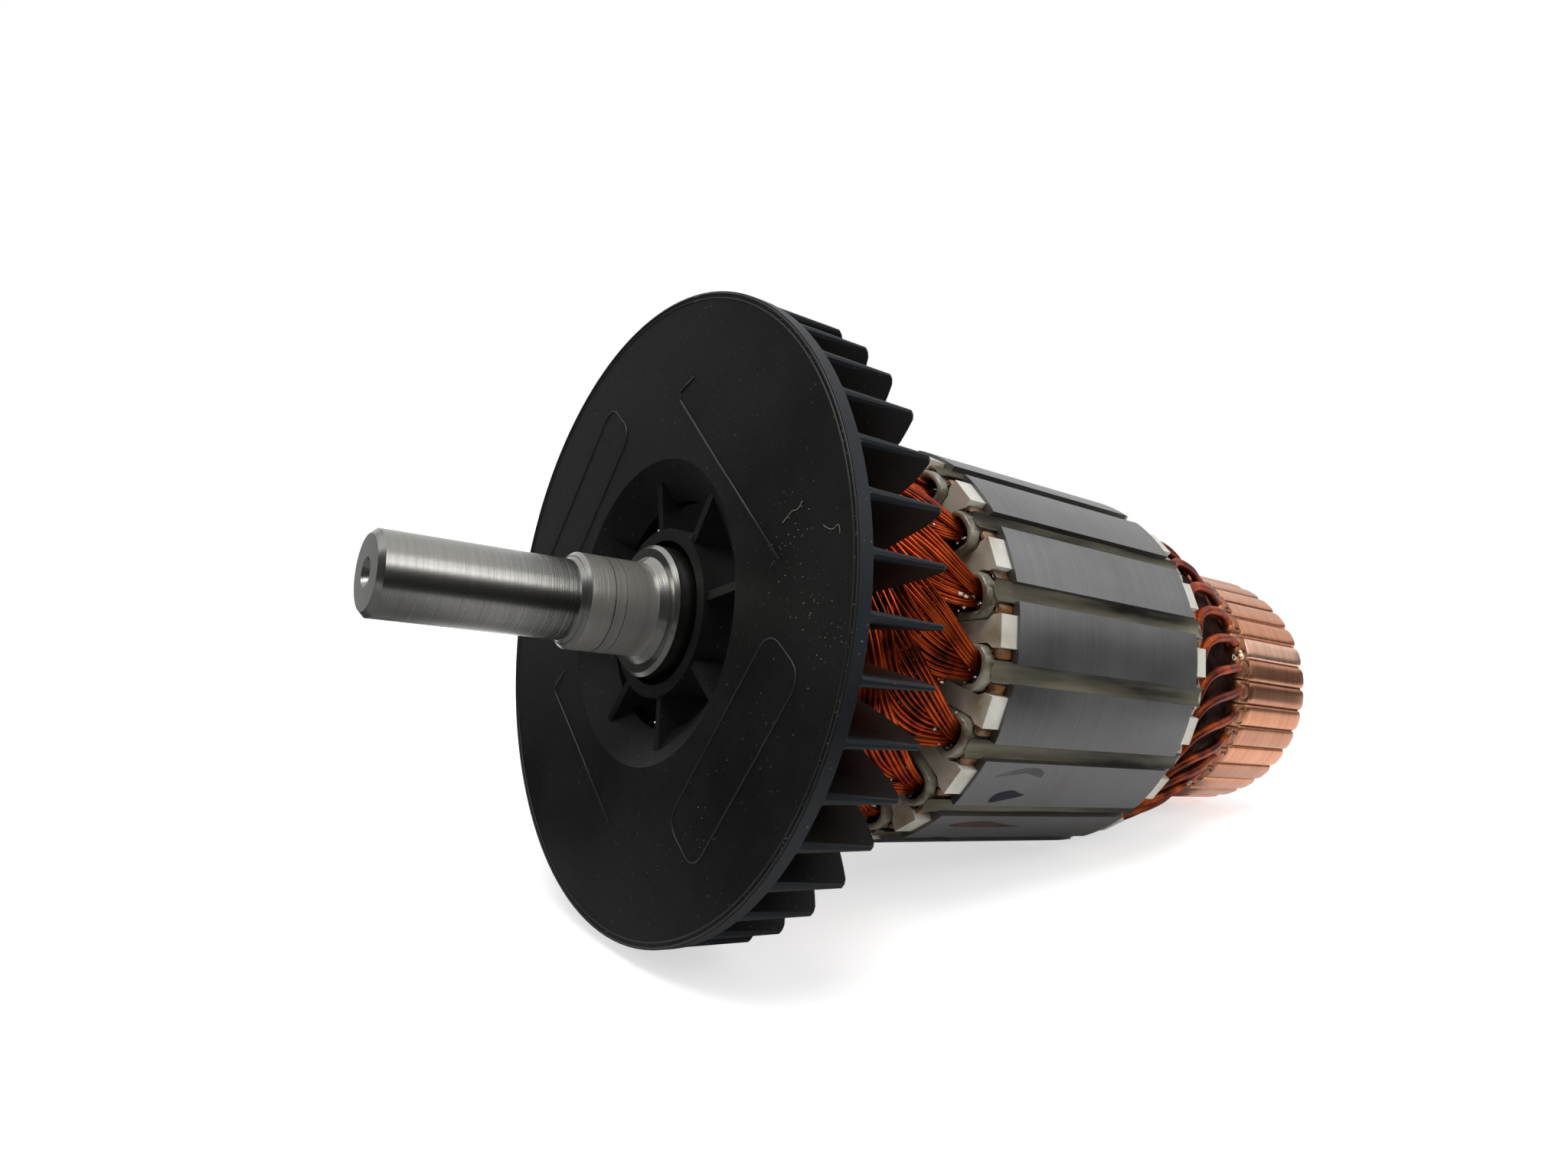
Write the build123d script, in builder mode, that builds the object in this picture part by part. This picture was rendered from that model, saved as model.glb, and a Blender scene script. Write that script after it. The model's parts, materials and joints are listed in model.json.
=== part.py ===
from build123d import *
import math
import os

# Armature of a universal motor, in millimetres. Every piece is drawn on the
# shaft's own axis, with z = 0 on the front face of the fan, the commutator
# towards +z and x upward, and is laid down in its resting pose at the end.

os.makedirs("parts", exist_ok=True)

# fits
press_clearance = 0.02
slide_clearance = 0.05

# shaft
shaft_front = -35.0
journal_radius = 5.0
journal_end = -11.3
seat_radius = 6.0
collar_front = -0.8
collar_overhang = 2.5
collar_radius = 8.5
core_seat_radius = 6.5
core_seat_overhang = 1.4
tail_radius = 5.0
tail_length = 14.9
end_chamfer = 0.65
step_fillet = 0.4
step_chamfer = 0.5
collar_fillet = 0.9
centre_pit_radius = 1.7

# fan
fan_radius = 41.2
disc_thickness = 1.75
blade_count = 40
blade_inner_radius = 24.0
blade_inset = 0.1
blade_back = 13.1
blade_root_width = 1.35
blade_tip_width = 0.8
blade_root_flare = 0.7
blade_corner = 1.2
blade_shoulder_radius = 37.0
blade_belly = 1.3
blade_first_angle = 4.54
funnel_mouth_radius = 19.8
funnel_throat_radius = 15.0
funnel_depth = 3.6
hub_front = 1.5
hub_outer_radius = 11.0
hub_recess_radius = 9.4
hub_recess_depth = 2.6
hub_rib_count = 8
hub_rib_width = 1.1
hub_rib_angle = 29.6
hub_rib_lap = 0.4
hub_rib_foot = 1.4
hub_rib_setback = 4.0

# laminated core
fan_to_core = 24.55
core_length = 40.0
core_radius = 29.2
slot_count = 17
slot_first_angle = 7.45
slot_opening = 2.6
tooth_width = 3.0
tooth_tip = 1.1
tooth_tip_slope = 1.9

# end insulators
insulator_thickness = 3.0
insulator_step = 0.5
insulator_head_width = 4.3
insulator_neck = 1.0
insulator_slot_relief = 0.4

# slot liners
liner_wall = 0.4
liner_overhang = 4.0
liner_fold_width = 2.2
liner_fold_drop = 0.25

# coils, one bundle of wires each
coil_radius = 1.5
top_leg_depth = 5.2
leg_spacing = 4.4
throw_slot_count = 8
leg_overhang = 0.6
front_head_reach = 21.4
rear_head_reach = 19.8

# shaft sleeve
sleeve_wall = 1.3
sleeve_end_gap = 0.2

# commutator
bar_count = 34
bar_first_angle = 3.76
bar_gap = 0.7
undercut_depth = 0.7
core_to_riser = 23.35
riser_length = 4.0
riser_height = 0.8
groove_length = 1.1
groove_depth = 0.6
track_length = 19.1
track_radius = 21.6
bar_depth = 3.9
bar_end_round = 0.9
hub_setback = 0.4

# leads from the coils to the risers
lead_radius = 0.52
lead_wrap_depth = 2.9
lead_wrap_width = 3.0
lead_wrap_gap = 0.2
lead_lag = 14.0
lead_bend = 3.2
lead_drop = 0.4

# radii and places along the shaft that follow from these lengths
blade_outer_radius = fan_radius - blade_inset
collar_back = blade_back + collar_overhang
core_front = blade_back + fan_to_core
core_back = core_front + core_length
core_middle = core_front + core_length / 2
riser_front = core_back + core_to_riser
riser_back = riser_front + riser_length
track_front = riser_back + groove_length
track_back = track_front + track_length
core_seat_end = track_back + core_seat_overhang
shaft_back = core_seat_end + tail_length
riser_radius = track_radius + riser_height
top_leg_radius = core_radius - top_leg_depth
bottom_leg_radius = top_leg_radius - leg_spacing
insulator_radius = core_radius - insulator_step
lead_wrap_radius = core_radius - lead_wrap_depth
slot_pitch = 360 / slot_count
bar_pitch = 360 / bar_count
sleeve_radius = core_seat_radius + press_clearance + sleeve_wall
core_bore = sleeve_radius + press_clearance


def on_axis(radius, height, angle):
    """Point at a radius, a height along the shaft and an angle about it."""
    turn = math.radians(angle)
    return (radius * math.cos(turn), radius * math.sin(turn), height)


def flank(radius, half_width):
    """Half width of a slot whose tooth has parallel sides."""
    half_pitch = math.radians(slot_pitch / 2)
    return radius * math.tan(half_pitch) - half_width / math.cos(half_pitch)


# Shaft: one turned piece with journal, bearing seat, fan collar, core seat and
# tail journal, with a centre pit in the drive end.
pit_depth = centre_pit_radius / math.tan(math.radians(30))
with BuildPart() as shaft:
    with BuildSketch(Plane.XZ):
        with BuildLine():
            Polyline(
                (0, shaft_front + pit_depth),
                (centre_pit_radius, shaft_front),
                (journal_radius - end_chamfer, shaft_front),
                (journal_radius, shaft_front + end_chamfer),
                (journal_radius, journal_end - step_fillet),
                (journal_radius + step_fillet, journal_end),
                (seat_radius - step_chamfer, journal_end),
                (seat_radius, journal_end + step_chamfer),
                (seat_radius, collar_front - collar_fillet),
                (seat_radius + collar_fillet, collar_front),
                (collar_radius - step_chamfer, collar_front),
                (collar_radius, collar_front + step_chamfer),
                (collar_radius, collar_back),
                (core_seat_radius, collar_back),
                (core_seat_radius, core_seat_end),
                (tail_radius, core_seat_end),
                (tail_radius, shaft_back - end_chamfer),
                (tail_radius - end_chamfer, shaft_back),
                (0, shaft_back),
                close=True,
            )
        make_face()
    revolve(axis=Axis.Z)
shaft.part.label = "shaft"

# Insulating sleeve between the shaft and the core and windings.
with BuildPart() as shaft_sleeve:
    with BuildSketch(Plane.XY.offset(collar_back + sleeve_end_gap)):
        Circle(sleeve_radius)
        Circle(core_seat_radius + press_clearance, mode=Mode.SUBTRACT)
    extrude(amount=riser_front - collar_back - 2 * sleeve_end_gap)
shaft_sleeve.part.label = "shaft_sleeve"

# One fan blade: it stands on the back of the disc with a flared root, thins towards
# its back edge, and that edge is cut off at the tip and bowed back further in.
with BuildPart() as fan_blade:
    with BuildSketch(Plane(origin=(blade_inner_radius, 0, 0), x_dir=(0, 1, 0), z_dir=(1, 0, 0))):
        with BuildLine():
            right_side = Polyline(
                (0, disc_thickness),
                (blade_root_width / 2 + blade_root_flare, disc_thickness),
                (blade_root_width / 2, disc_thickness + blade_root_flare),
                (blade_tip_width / 2, blade_back + blade_belly),
                (0, blade_back + blade_belly),
            )
            mirror(right_side, about=Plane.YZ)
        make_face()
    extrude(amount=blade_outer_radius - blade_inner_radius)
    with BuildSketch(Plane.XZ):
        with BuildLine():
            Polyline(
                (blade_inner_radius, disc_thickness),
                (blade_outer_radius, disc_thickness),
                (blade_outer_radius, blade_back - blade_corner),
                (blade_outer_radius - 0.75 * blade_corner, blade_back - 0.25 * blade_corner),
                (blade_shoulder_radius, blade_back + blade_belly / 2),
                (blade_inner_radius, blade_back + blade_belly),
                close=True,
            )
        make_face()
    extrude(amount=blade_root_width + blade_root_flare, both=True, mode=Mode.INTERSECT)

# The blades have a node of their own, so that the space between them stays open.
with BuildPart() as fan_blades:
    with PolarLocations(0, blade_count, start_angle=blade_first_angle):
        add(fan_blade.part)
fan_blades.part.label = "fan_blades"

# One rib of the fan hub, from the hub ring out to the funnel.
with BuildPart() as hub_rib:
    with BuildSketch(Plane.XZ):
        with BuildLine():
            Polyline(
                (hub_outer_radius - hub_rib_lap, hub_front + hub_rib_lap),
                (funnel_mouth_radius - hub_rib_foot, hub_front),
                (funnel_mouth_radius + hub_rib_foot, disc_thickness - hub_rib_lap),
                (funnel_mouth_radius + hub_rib_foot, disc_thickness + hub_rib_foot),
                (funnel_throat_radius + hub_rib_foot, blade_back - hub_rib_setback),
                (hub_outer_radius - hub_rib_lap, blade_back - hub_rib_setback),
                close=True,
            )
        make_face()
    extrude(amount=hub_rib_width / 2, both=True)

# Fan: disc that dips to a funnel, with a hub ring that is carried on ribs.
with BuildPart() as fan:
    with BuildSketch(Plane.XZ):
        with BuildLine():
            Polyline(
                (funnel_mouth_radius, 0),
                (fan_radius, 0),
                (fan_radius, disc_thickness),
                (funnel_mouth_radius, disc_thickness),
                (funnel_throat_radius, funnel_depth + disc_thickness),
                (funnel_throat_radius, funnel_depth),
                close=True,
            )
        make_face()
    revolve(axis=Axis.Z)
    with BuildSketch(Plane.XZ):
        with BuildLine():
            Polyline(
                (hub_recess_radius, hub_front),
                (hub_outer_radius, hub_front),
                (hub_outer_radius, blade_back),
                (collar_radius + press_clearance, blade_back),
                (collar_radius + press_clearance, hub_front + hub_recess_depth),
                (hub_recess_radius, hub_front + hub_recess_depth),
                close=True,
            )
        make_face()
    revolve(axis=Axis.Z)
    with PolarLocations(0, hub_rib_count, start_angle=hub_rib_angle):
        add(hub_rib.part)
fan.part.label = "fan"

# Radii of the slot: its floor under the bottom leg, the shoulder under the tooth
# tips and the underside of the tips where the liner is folded shut.
slot_floor = bottom_leg_radius - coil_radius * math.cos(math.pi / 6) - liner_wall - 2 * slide_clearance
slot_shoulder = core_radius - tooth_tip - tooth_tip_slope
slot_crown = core_radius - tooth_tip


def symmetric_slot(outline):
    """Face whose upper half is given from the radial line round to it again."""
    with BuildSketch() as face:
        with BuildLine():
            upper_side = Polyline(outline)
            mirror(upper_side, about=Plane.XZ)
        make_face()
    return face.sketch


core_slot = symmetric_slot(
    [
        (slot_floor, 0),
        (slot_floor, flank(slot_floor, tooth_width / 2)),
        (slot_shoulder, flank(slot_shoulder, tooth_width / 2)),
        (slot_crown, slot_opening / 2),
        (core_radius + 1, slot_opening / 2),
        (core_radius + 1, 0),
    ]
)

# Laminated core with its slots, half closed at the rim by the tooth tips.
with BuildPart() as lamination_stack:
    with BuildSketch(Plane.XY.offset(core_front)):
        Circle(core_radius)
        Circle(core_bore, mode=Mode.SUBTRACT)
        with PolarLocations(0, slot_count, start_angle=slot_first_angle):
            add(core_slot, mode=Mode.SUBTRACT)
    extrude(amount=core_length)
lamination_stack.part.label = "lamination_stack"

plate_slot_floor = slot_floor - insulator_slot_relief
head_shoulder = slot_shoulder + insulator_neck
plate_slot = symmetric_slot(
    [
        (plate_slot_floor, 0),
        (plate_slot_floor, flank(plate_slot_floor, tooth_width / 2)),
        (slot_shoulder, flank(slot_shoulder, tooth_width / 2)),
        (head_shoulder, flank(head_shoulder, insulator_head_width / 2)),
        (insulator_radius + 1, flank(insulator_radius + 1, insulator_head_width / 2)),
        (insulator_radius + 1, 0),
    ]
)

# Moulded end plates, with a flat-topped T-shaped head over every tooth of the core.
with BuildPart() as front_end_insulator:
    with BuildSketch(Plane.XY.offset(core_front)):
        RegularPolygon(
            insulator_radius, slot_count, major_radius=False, rotation=slot_first_angle
        )
        Circle(core_bore, mode=Mode.SUBTRACT)
        with PolarLocations(0, slot_count, start_angle=slot_first_angle):
            add(plate_slot, mode=Mode.SUBTRACT)
    extrude(amount=-insulator_thickness)
front_end_insulator.part.label = "front_end_insulator"

with BuildPart() as rear_end_insulator:
    add(front_end_insulator.part.mirror(Plane.XY.offset(core_middle)))
rear_end_insulator.part.label = "rear_end_insulator"


def liner_outline(inset):
    """Half outline of a slot liner, drawn in from the slot's wall by the inset."""
    return [
        (slot_floor + inset, 0),
        (slot_floor + inset, flank(slot_floor + inset, tooth_width / 2) - inset),
        (slot_shoulder, flank(slot_shoulder, tooth_width / 2) - inset),
        (slot_crown - liner_fold_drop - inset, liner_fold_width / 2),
        (slot_crown - liner_fold_drop - inset, 0),
    ]


liner_outer = symmetric_slot(liner_outline(slide_clearance))
liner_inner = symmetric_slot(liner_outline(slide_clearance + liner_wall))

# Slot liners: folded paper tubes that stand out of the core at both ends.
with BuildPart() as slot_liners:
    with BuildSketch(Plane.XY.offset(core_front - liner_overhang)):
        with PolarLocations(0, slot_count, start_angle=slot_first_angle):
            add(liner_outer)
            add(liner_inner, mode=Mode.SUBTRACT)
    extrude(amount=core_length + 2 * liner_overhang)
slot_liners.part.label = "slot_liners"

# Course of one end turn from the bottom of its slot to the top of the slot that
# the throw leads to: share of the core's radius, of the head's reach and of the throw.
front_turn = [
    (0.534, 0.491, 0.139),
    (0.514, 0.958, 0.415),
    (0.644, 1.0, 0.507),
    (0.795, 0.883, 0.645),
    (0.846, 0.561, 0.864),
]
rear_turn = [
    (0.524, 0.5, 0.163),
    (0.527, 1.0, 0.439),
    (0.661, 1.0, 0.53),
    (0.764, 0.717, 0.697),
]


def half_coil(turn, reach, core_end, direction):
    """Half of a coil, from the middle of one slot round to the middle of the other."""
    throw = throw_slot_count * slot_pitch
    leg_end = core_end + direction * (liner_overhang + leg_overhang)
    start = on_axis(bottom_leg_radius, core_middle, 0)
    course = [on_axis(bottom_leg_radius, leg_end, 0)]
    for radius_share, reach_share, throw_share in turn:
        height = core_end + direction * reach_share * reach
        course.append(on_axis(radius_share * core_radius, height, throw_share * throw))
    course.append(on_axis(top_leg_radius, leg_end, throw))
    finish = on_axis(top_leg_radius, core_middle, throw)
    with BuildPart() as half:
        with BuildLine():
            Polyline([start] + course + [finish])
        with BuildSketch(Plane(origin=start, x_dir=(1, 0, 0), z_dir=(0, 0, direction))):
            RegularPolygon(coil_radius, 6, rotation=30)
        sweep(transition=Transition.RIGHT)
    return half.part


front_half = half_coil(front_turn, front_head_reach, core_front, -1)
rear_half = half_coil(rear_turn, rear_head_reach, core_back, 1)
coils = []
for number in range(slot_count):
    with BuildPart() as coil:
        with Locations(Rotation(0, 0, slot_first_angle + number * slot_pitch)):
            add(front_half)
            add(rear_half)
    coil.part.label = f"coil_{number + 1:02d}"
    coils.append(coil.part)

# Run of the lead wires laid round the rear coil heads behind the liners, with a
# flat from each lead to the next.
wrap_front = core_back + liner_overhang + lead_wrap_gap
with BuildPart() as lead_wrap:
    with BuildSketch(Plane.XY.offset(wrap_front)):
        RegularPolygon(lead_wrap_radius + 2 * lead_radius, bar_count, major_radius=False)
        RegularPolygon(lead_wrap_radius, bar_count, major_radius=False, mode=Mode.SUBTRACT)
    extrude(amount=lead_wrap_width)
lead_wrap.part.label = "lead_wrap"



def wedge(outline, from_angle, to_angle):
    """Solid between two planes through the shaft's axis, with the given radial outline."""
    reach = 2 * riser_radius
    with BuildPart() as piece:
        with BuildSketch(Plane.XZ):
            with BuildLine():
                Polyline(outline, close=True)
            make_face()
        extrude(amount=riser_radius, both=True)
        with BuildSketch(Plane.XY.offset(riser_front)):
            with BuildLine():
                Polyline(
                    (0, 0),
                    (reach, reach * math.tan(math.radians(from_angle))),
                    (reach, reach * math.tan(math.radians(to_angle))),
                    close=True,
                )
            make_face()
        extrude(amount=track_back - riser_front, mode=Mode.INTERSECT)
    return piece.part


# Commutator bars: flat-topped wedges with a raised riser, a groove behind it and a
# rounded back end.
bar_foot = track_radius - bar_depth
bar_half_angle = bar_pitch / 2 - math.degrees(bar_gap / 2 / track_radius)
commutator_bar = wedge(
    [
        (bar_foot, riser_front),
        (riser_radius, riser_front),
        (riser_radius, riser_back),
        (track_radius - groove_depth, (riser_back + track_front) / 2),
        (track_radius, track_front),
        (track_radius, track_back - bar_end_round),
        (track_radius - bar_end_round, track_back),
        (bar_foot, track_back),
    ],
    -bar_half_angle,
    bar_half_angle,
)
with BuildPart() as commutator_bars:
    with PolarLocations(0, bar_count, start_angle=bar_first_angle):
        add(commutator_bar)
commutator_bars.part.label = "commutator_bars"

# Mica plates that fill between the bars up to the undercut.
mica_half_angle = bar_pitch / 2 - bar_half_angle - math.degrees(press_clearance / bar_foot)
mica_plate = wedge(
    [
        (bar_foot, riser_front + hub_setback),
        (track_radius - undercut_depth, riser_front + hub_setback),
        (track_radius - undercut_depth, track_back - bar_end_round),
        (bar_foot, track_back - bar_end_round),
    ],
    -mica_half_angle,
    mica_half_angle,
)
with BuildPart() as mica_plates:
    with PolarLocations(0, bar_count, start_angle=bar_first_angle + bar_pitch / 2):
        add(mica_plate)
mica_plates.part.label = "mica_plates"

# Moulded hub that holds the bars on the shaft.
with BuildPart() as commutator_hub:
    with BuildSketch(Plane.XY.offset(riser_front + hub_setback)):
        Circle(bar_foot - press_clearance)
        Circle(core_seat_radius + press_clearance, mode=Mode.SUBTRACT)
    extrude(amount=track_back - bar_end_round - riser_front - hub_setback)
commutator_hub.part.label = "commutator_hub"

# Leads: each leaves the wrapped run slanting and ends on the face of its riser.
lead_height = wrap_front + lead_wrap_width
lead_foot = riser_radius - lead_radius - lead_drop
lead_start = on_axis(lead_wrap_radius + lead_radius, lead_height, lead_lag)
with BuildPart() as lead_wire:
    with BuildLine():
        Polyline(
            lead_start,
            on_axis(lead_wrap_radius + lead_radius, lead_height + lead_bend, 0.4 * lead_lag),
            on_axis(lead_foot, riser_front - lead_radius / 2 - slide_clearance, 0),
        )
    with BuildSketch(Plane(origin=lead_start)):
        RegularPolygon(lead_radius, 4)
    sweep(transition=Transition.RIGHT)

with BuildPart() as lead_wires:
    with PolarLocations(0, bar_count, start_angle=bar_first_angle):
        add(lead_wire.part)
lead_wires.part.label = "lead_wires"

# Resting pose: the part lies on the back corners of its fan blades and on the
# back edge of the commutator, so the shaft slopes down towards the commutator.
blade_edge_turn = math.pi / blade_count - blade_tip_width / 2 / blade_outer_radius
contact_front = blade_back - blade_corner
contact_back = track_back - bar_end_round
bar_corner_radius = track_radius / math.cos(math.radians(bar_half_angle))
contact_drop = blade_outer_radius * math.cos(blade_edge_turn) - bar_corner_radius
slope = math.atan2(contact_drop, contact_back - contact_front)
lie = Location(
    Plane(
        origin=(0, 0, 0),
        x_dir=(0, math.sin(slope), math.cos(slope)),
        z_dir=(0, math.cos(slope), -math.sin(slope)),
    )
)
pieces = [
    shaft.part,
    shaft_sleeve.part,
    fan.part,
    fan_blades.part,
    lamination_stack.part,
    front_end_insulator.part,
    rear_end_insulator.part,
    slot_liners.part,
    lead_wrap.part,
    lead_wires.part,
    commutator_bars.part,
    mica_plates.part,
    commutator_hub.part,
]
outermost = [shaft.part, fan.part, fan_blades.part, lamination_stack.part, commutator_bars.part]
laid_box = Compound(children=[lie * piece for piece in outermost]).bounding_box()
centring = Location(
    (
        -(laid_box.min.X + laid_box.max.X) / 2,
        -(laid_box.min.Y + laid_box.max.Y) / 2,
        -laid_box.min.Z,
    )
)
rest = centring * lie

for piece in pieces + coils:
    laid = rest * piece
    laid.label = piece.label
    export_step(laid, f"parts/{piece.label}.step")

origin = rest * Location((0, 0, 0))
print("slope", round(math.degrees(slope), 4), "degrees, fan face centre", origin.position)
print("box", laid_box.size)
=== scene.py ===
import json
import math
import random

import bpy
import numpy as np
from mathutils import Matrix, Vector


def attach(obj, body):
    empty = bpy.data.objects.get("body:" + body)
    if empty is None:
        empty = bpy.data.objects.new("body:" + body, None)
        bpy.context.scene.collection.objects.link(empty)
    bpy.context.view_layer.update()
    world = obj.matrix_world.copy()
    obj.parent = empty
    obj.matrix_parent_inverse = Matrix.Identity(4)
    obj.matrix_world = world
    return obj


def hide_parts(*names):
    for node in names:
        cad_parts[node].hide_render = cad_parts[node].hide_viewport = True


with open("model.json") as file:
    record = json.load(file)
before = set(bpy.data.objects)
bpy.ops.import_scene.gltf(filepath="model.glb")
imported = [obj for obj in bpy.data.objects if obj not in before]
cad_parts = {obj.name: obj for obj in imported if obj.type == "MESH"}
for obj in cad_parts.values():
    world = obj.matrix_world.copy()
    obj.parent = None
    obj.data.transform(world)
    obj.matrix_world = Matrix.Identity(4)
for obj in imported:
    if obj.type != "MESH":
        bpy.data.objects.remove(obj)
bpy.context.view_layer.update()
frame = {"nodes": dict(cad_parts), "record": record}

# Sizes in millimetres, on the shaft's own axis: radius, degrees about the shaft,
# and s along it from the fan's front face towards the commutator.
MM = 0.001
DRIVE_JOURNAL_S = -23.025
SLOTS = 17
SLOT_PITCH = 360 / SLOTS
FIRST_SLOT = 7.45
BARS = 34
BAR_PITCH = 360 / BARS
FIRST_BAR = 3.76
DISC_BACK = 1.75
CORE_FRONT = 37.65
CORE_BACK = 77.65
RISER_BACK = 105.0
TRACK_FRONT = 106.0

mounts = {mount["name"]: mount for mount in frame["record"]["mounts"]}
drive = Vector(mounts["drive_journal"]["pos_m"])
tail = Vector(mounts["tail_journal"]["pos_m"])
shaft_axis = (tail - drive).normalized()
across = Vector((1.0, 0.0, 0.0))
upward = across.cross(shaft_axis)
fan_face = drive - shaft_axis * (DRIVE_JOURNAL_S * MM)
to_world = Matrix.Identity(4)
for column, axis in enumerate((upward, across, shaft_axis)):
    for row in range(3):
        to_world[row][column] = axis[row]
    to_world[column][3] = fan_face[column]


def on_shaft(radius, angle, s):
    """Point in the shaft's frame, in metres; takes numbers or arrays."""
    turn = np.radians(angle)
    flat = np.broadcast_arrays(radius * np.cos(turn), radius * np.sin(turn), s)
    return np.stack(flat, axis=-1) * MM


# Materials


def material(name, color, roughness, metallic=0.0, coat=0.0, specular=0.5):
    made = bpy.data.materials.new(name)
    made.use_nodes = True
    shader = made.node_tree.nodes["Principled BSDF"]
    shader.inputs["Base Color"].default_value = (*color, 1.0)
    shader.inputs["Roughness"].default_value = roughness
    shader.inputs["Metallic"].default_value = metallic
    shader.inputs["Coat Weight"].default_value = coat
    shader.inputs["Coat Roughness"].default_value = 0.08
    shader.inputs["Specular IOR Level"].default_value = specular
    return made


def part_of(made, kind, **settings):
    node = made.node_tree.nodes.new(kind)
    for key, value in settings.items():
        setattr(node, key, value)
    return node


def noise(made, scale, detail=4.0, stretch=(1, 1, 1), turn=(0, 0, 0), roughness=0.5):
    """Noise in the piece's own coordinates, stretched along the row's axes."""
    coordinates = part_of(made, "ShaderNodeTexCoord")
    mapping = part_of(made, "ShaderNodeMapping", vector_type="TEXTURE")
    mapping.inputs["Scale"].default_value = [1 / share for share in stretch]
    mapping.inputs["Rotation"].default_value = turn
    texture = part_of(made, "ShaderNodeTexNoise")
    texture.inputs["Scale"].default_value = scale
    texture.inputs["Detail"].default_value = detail
    texture.inputs["Roughness"].default_value = roughness
    links = made.node_tree.links
    links.new(coordinates.outputs["Object"], mapping.inputs["Vector"])
    links.new(mapping.outputs["Vector"], texture.inputs["Vector"])
    return texture.outputs["Fac"]


def ramp(made, source, stops):
    """Colour ramp with (position, color) stops, driven by a texture."""
    node = part_of(made, "ShaderNodeValToRGB")
    elements = node.color_ramp.elements
    while len(elements) < len(stops):
        elements.new(0.5)
    for element, (position, color) in zip(elements, stops):
        element.position = position
        element.color = (*color, 1.0)
    made.node_tree.links.new(source, node.inputs["Fac"])
    return node.outputs["Color"]


def grey(value):
    return (value, value, value)


def drive_input(made, socket, source):
    shader = made.node_tree.nodes["Principled BSDF"]
    made.node_tree.links.new(source, shader.inputs[socket])


def bump(made, source, distance, strength):
    node = part_of(made, "ShaderNodeBump")
    node.inputs["Strength"].default_value = strength
    node.inputs["Distance"].default_value = distance
    made.node_tree.links.new(source, node.inputs["Height"])
    drive_input(made, "Normal", node.outputs["Normal"])


def multiply(made, first, second):
    node = part_of(made, "ShaderNodeMix", data_type="RGBA", blend_type="MULTIPLY")
    node.inputs[0].default_value = 1.0
    made.node_tree.links.new(first, node.inputs[6])
    made.node_tree.links.new(second, node.inputs[7])
    return node.outputs[2]


def vary_roughness(made, source, low, high, start=0.3):
    drive_input(made, "Roughness", ramp(made, source, [(start, grey(low)), (0.7, grey(high))]))


def each_island(made, stops):
    """Colour that differs from one loose part of the mesh to the next."""
    geometry = part_of(made, "ShaderNodeNewGeometry")
    return ramp(made, geometry.outputs["Random Per Island"], stops)


SHAFT_TILT = math.asin(-shaft_axis.z)
ALONG_SHAFT = (-SHAFT_TILT, 0, 0)


def turned_steel(name, dark, light, groove_depth, groove_stretch, metallic=1.0):
    """Turned metal: lighter and darker rings and fine grooves round the shaft."""
    made = material(name, light, 0.24, metallic=metallic)
    lathe = noise(made, 60, 3, (0.2, 40, 0.2), ALONG_SHAFT)
    grooves = noise(made, 60, 2, (0.25, groove_stretch, 0.25), ALONG_SHAFT)
    cloud = noise(made, 45, 3, (1, 0.5, 1), ALONG_SHAFT)
    vary_roughness(made, cloud, 0.23, 0.27, start=0.35)
    fine = ramp(made, lathe, [(0.3, dark), (0.7, light)])
    film = ramp(made, cloud, [(0.30, (0.88, 0.86, 0.83)), (0.42, grey(1.0))])
    drive_input(made, "Base Color", multiply(made, fine, film))
    bump(made, grooves, groove_depth, 0.8)
    return made


def fan_plastic(name, dark, light, specular):
    """Black plastic with a cloudy tone and pale specks of dust."""
    made = material(name, dark, 0.5, specular=specular)
    cloud = noise(made, 55, 9, roughness=0.62)
    fine = noise(made, 1500, 3)
    specks = noise(made, 2600, 2, roughness=0.4)
    tone = ramp(made, cloud, [(0.36, dark), (0.66, light)])
    dusty = ramp(made, specks, [(0.715, grey(1.0)), (0.76, grey(7.0))])
    drive_input(made, "Base Color", multiply(made, tone, dusty))
    vary_roughness(made, cloud, 0.4, 0.58)
    bump(made, fine, 0.00003, 0.5)
    return made


def core_steel():
    """Edges of thin sheets: fine lines across the shaft under a cloudy film."""
    made = material("core_steel", (0.2, 0.2, 0.205), 0.4, metallic=0.9)
    sheets = noise(made, 10, 2, (1, 190, 1), ALONG_SHAFT)
    cloud = noise(made, 55, 5, (1.6, 0.7, 1.6), ALONG_SHAFT)
    lines = ramp(made, sheets, [(0.3, grey(0.89)), (0.62, grey(1.0))])
    brown, middle, bluish = (0.150, 0.146, 0.145), (0.190, 0.190, 0.192), (0.235, 0.240, 0.246)
    tone = ramp(made, cloud, [(0.3, brown), (0.55, middle), (0.75, bluish)])
    drive_input(made, "Base Color", multiply(made, tone, lines))
    vary_roughness(made, cloud, 0.36, 0.5)
    bump(made, sheets, 0.00004, 0.4)
    return made


def insulation(
    name,
    light,
    dark,
    roughness=0.45,
    coat=0.0,
    low=0.35,
    high=0.6,
    scale=160,
    specular=0.4,
    stretch=(1, 1, 1),
):
    """Moulded, papery or varnished surface that clouds between two tones."""
    made = material(name, light, roughness, specular=specular, coat=coat)
    cloud = noise(made, scale, 5, stretch, ALONG_SHAFT)
    drive_input(made, "Base Color", ramp(made, cloud, [(low, dark), (high, light)]))
    bump(made, cloud, 0.0001, 0.3)
    return made


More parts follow.
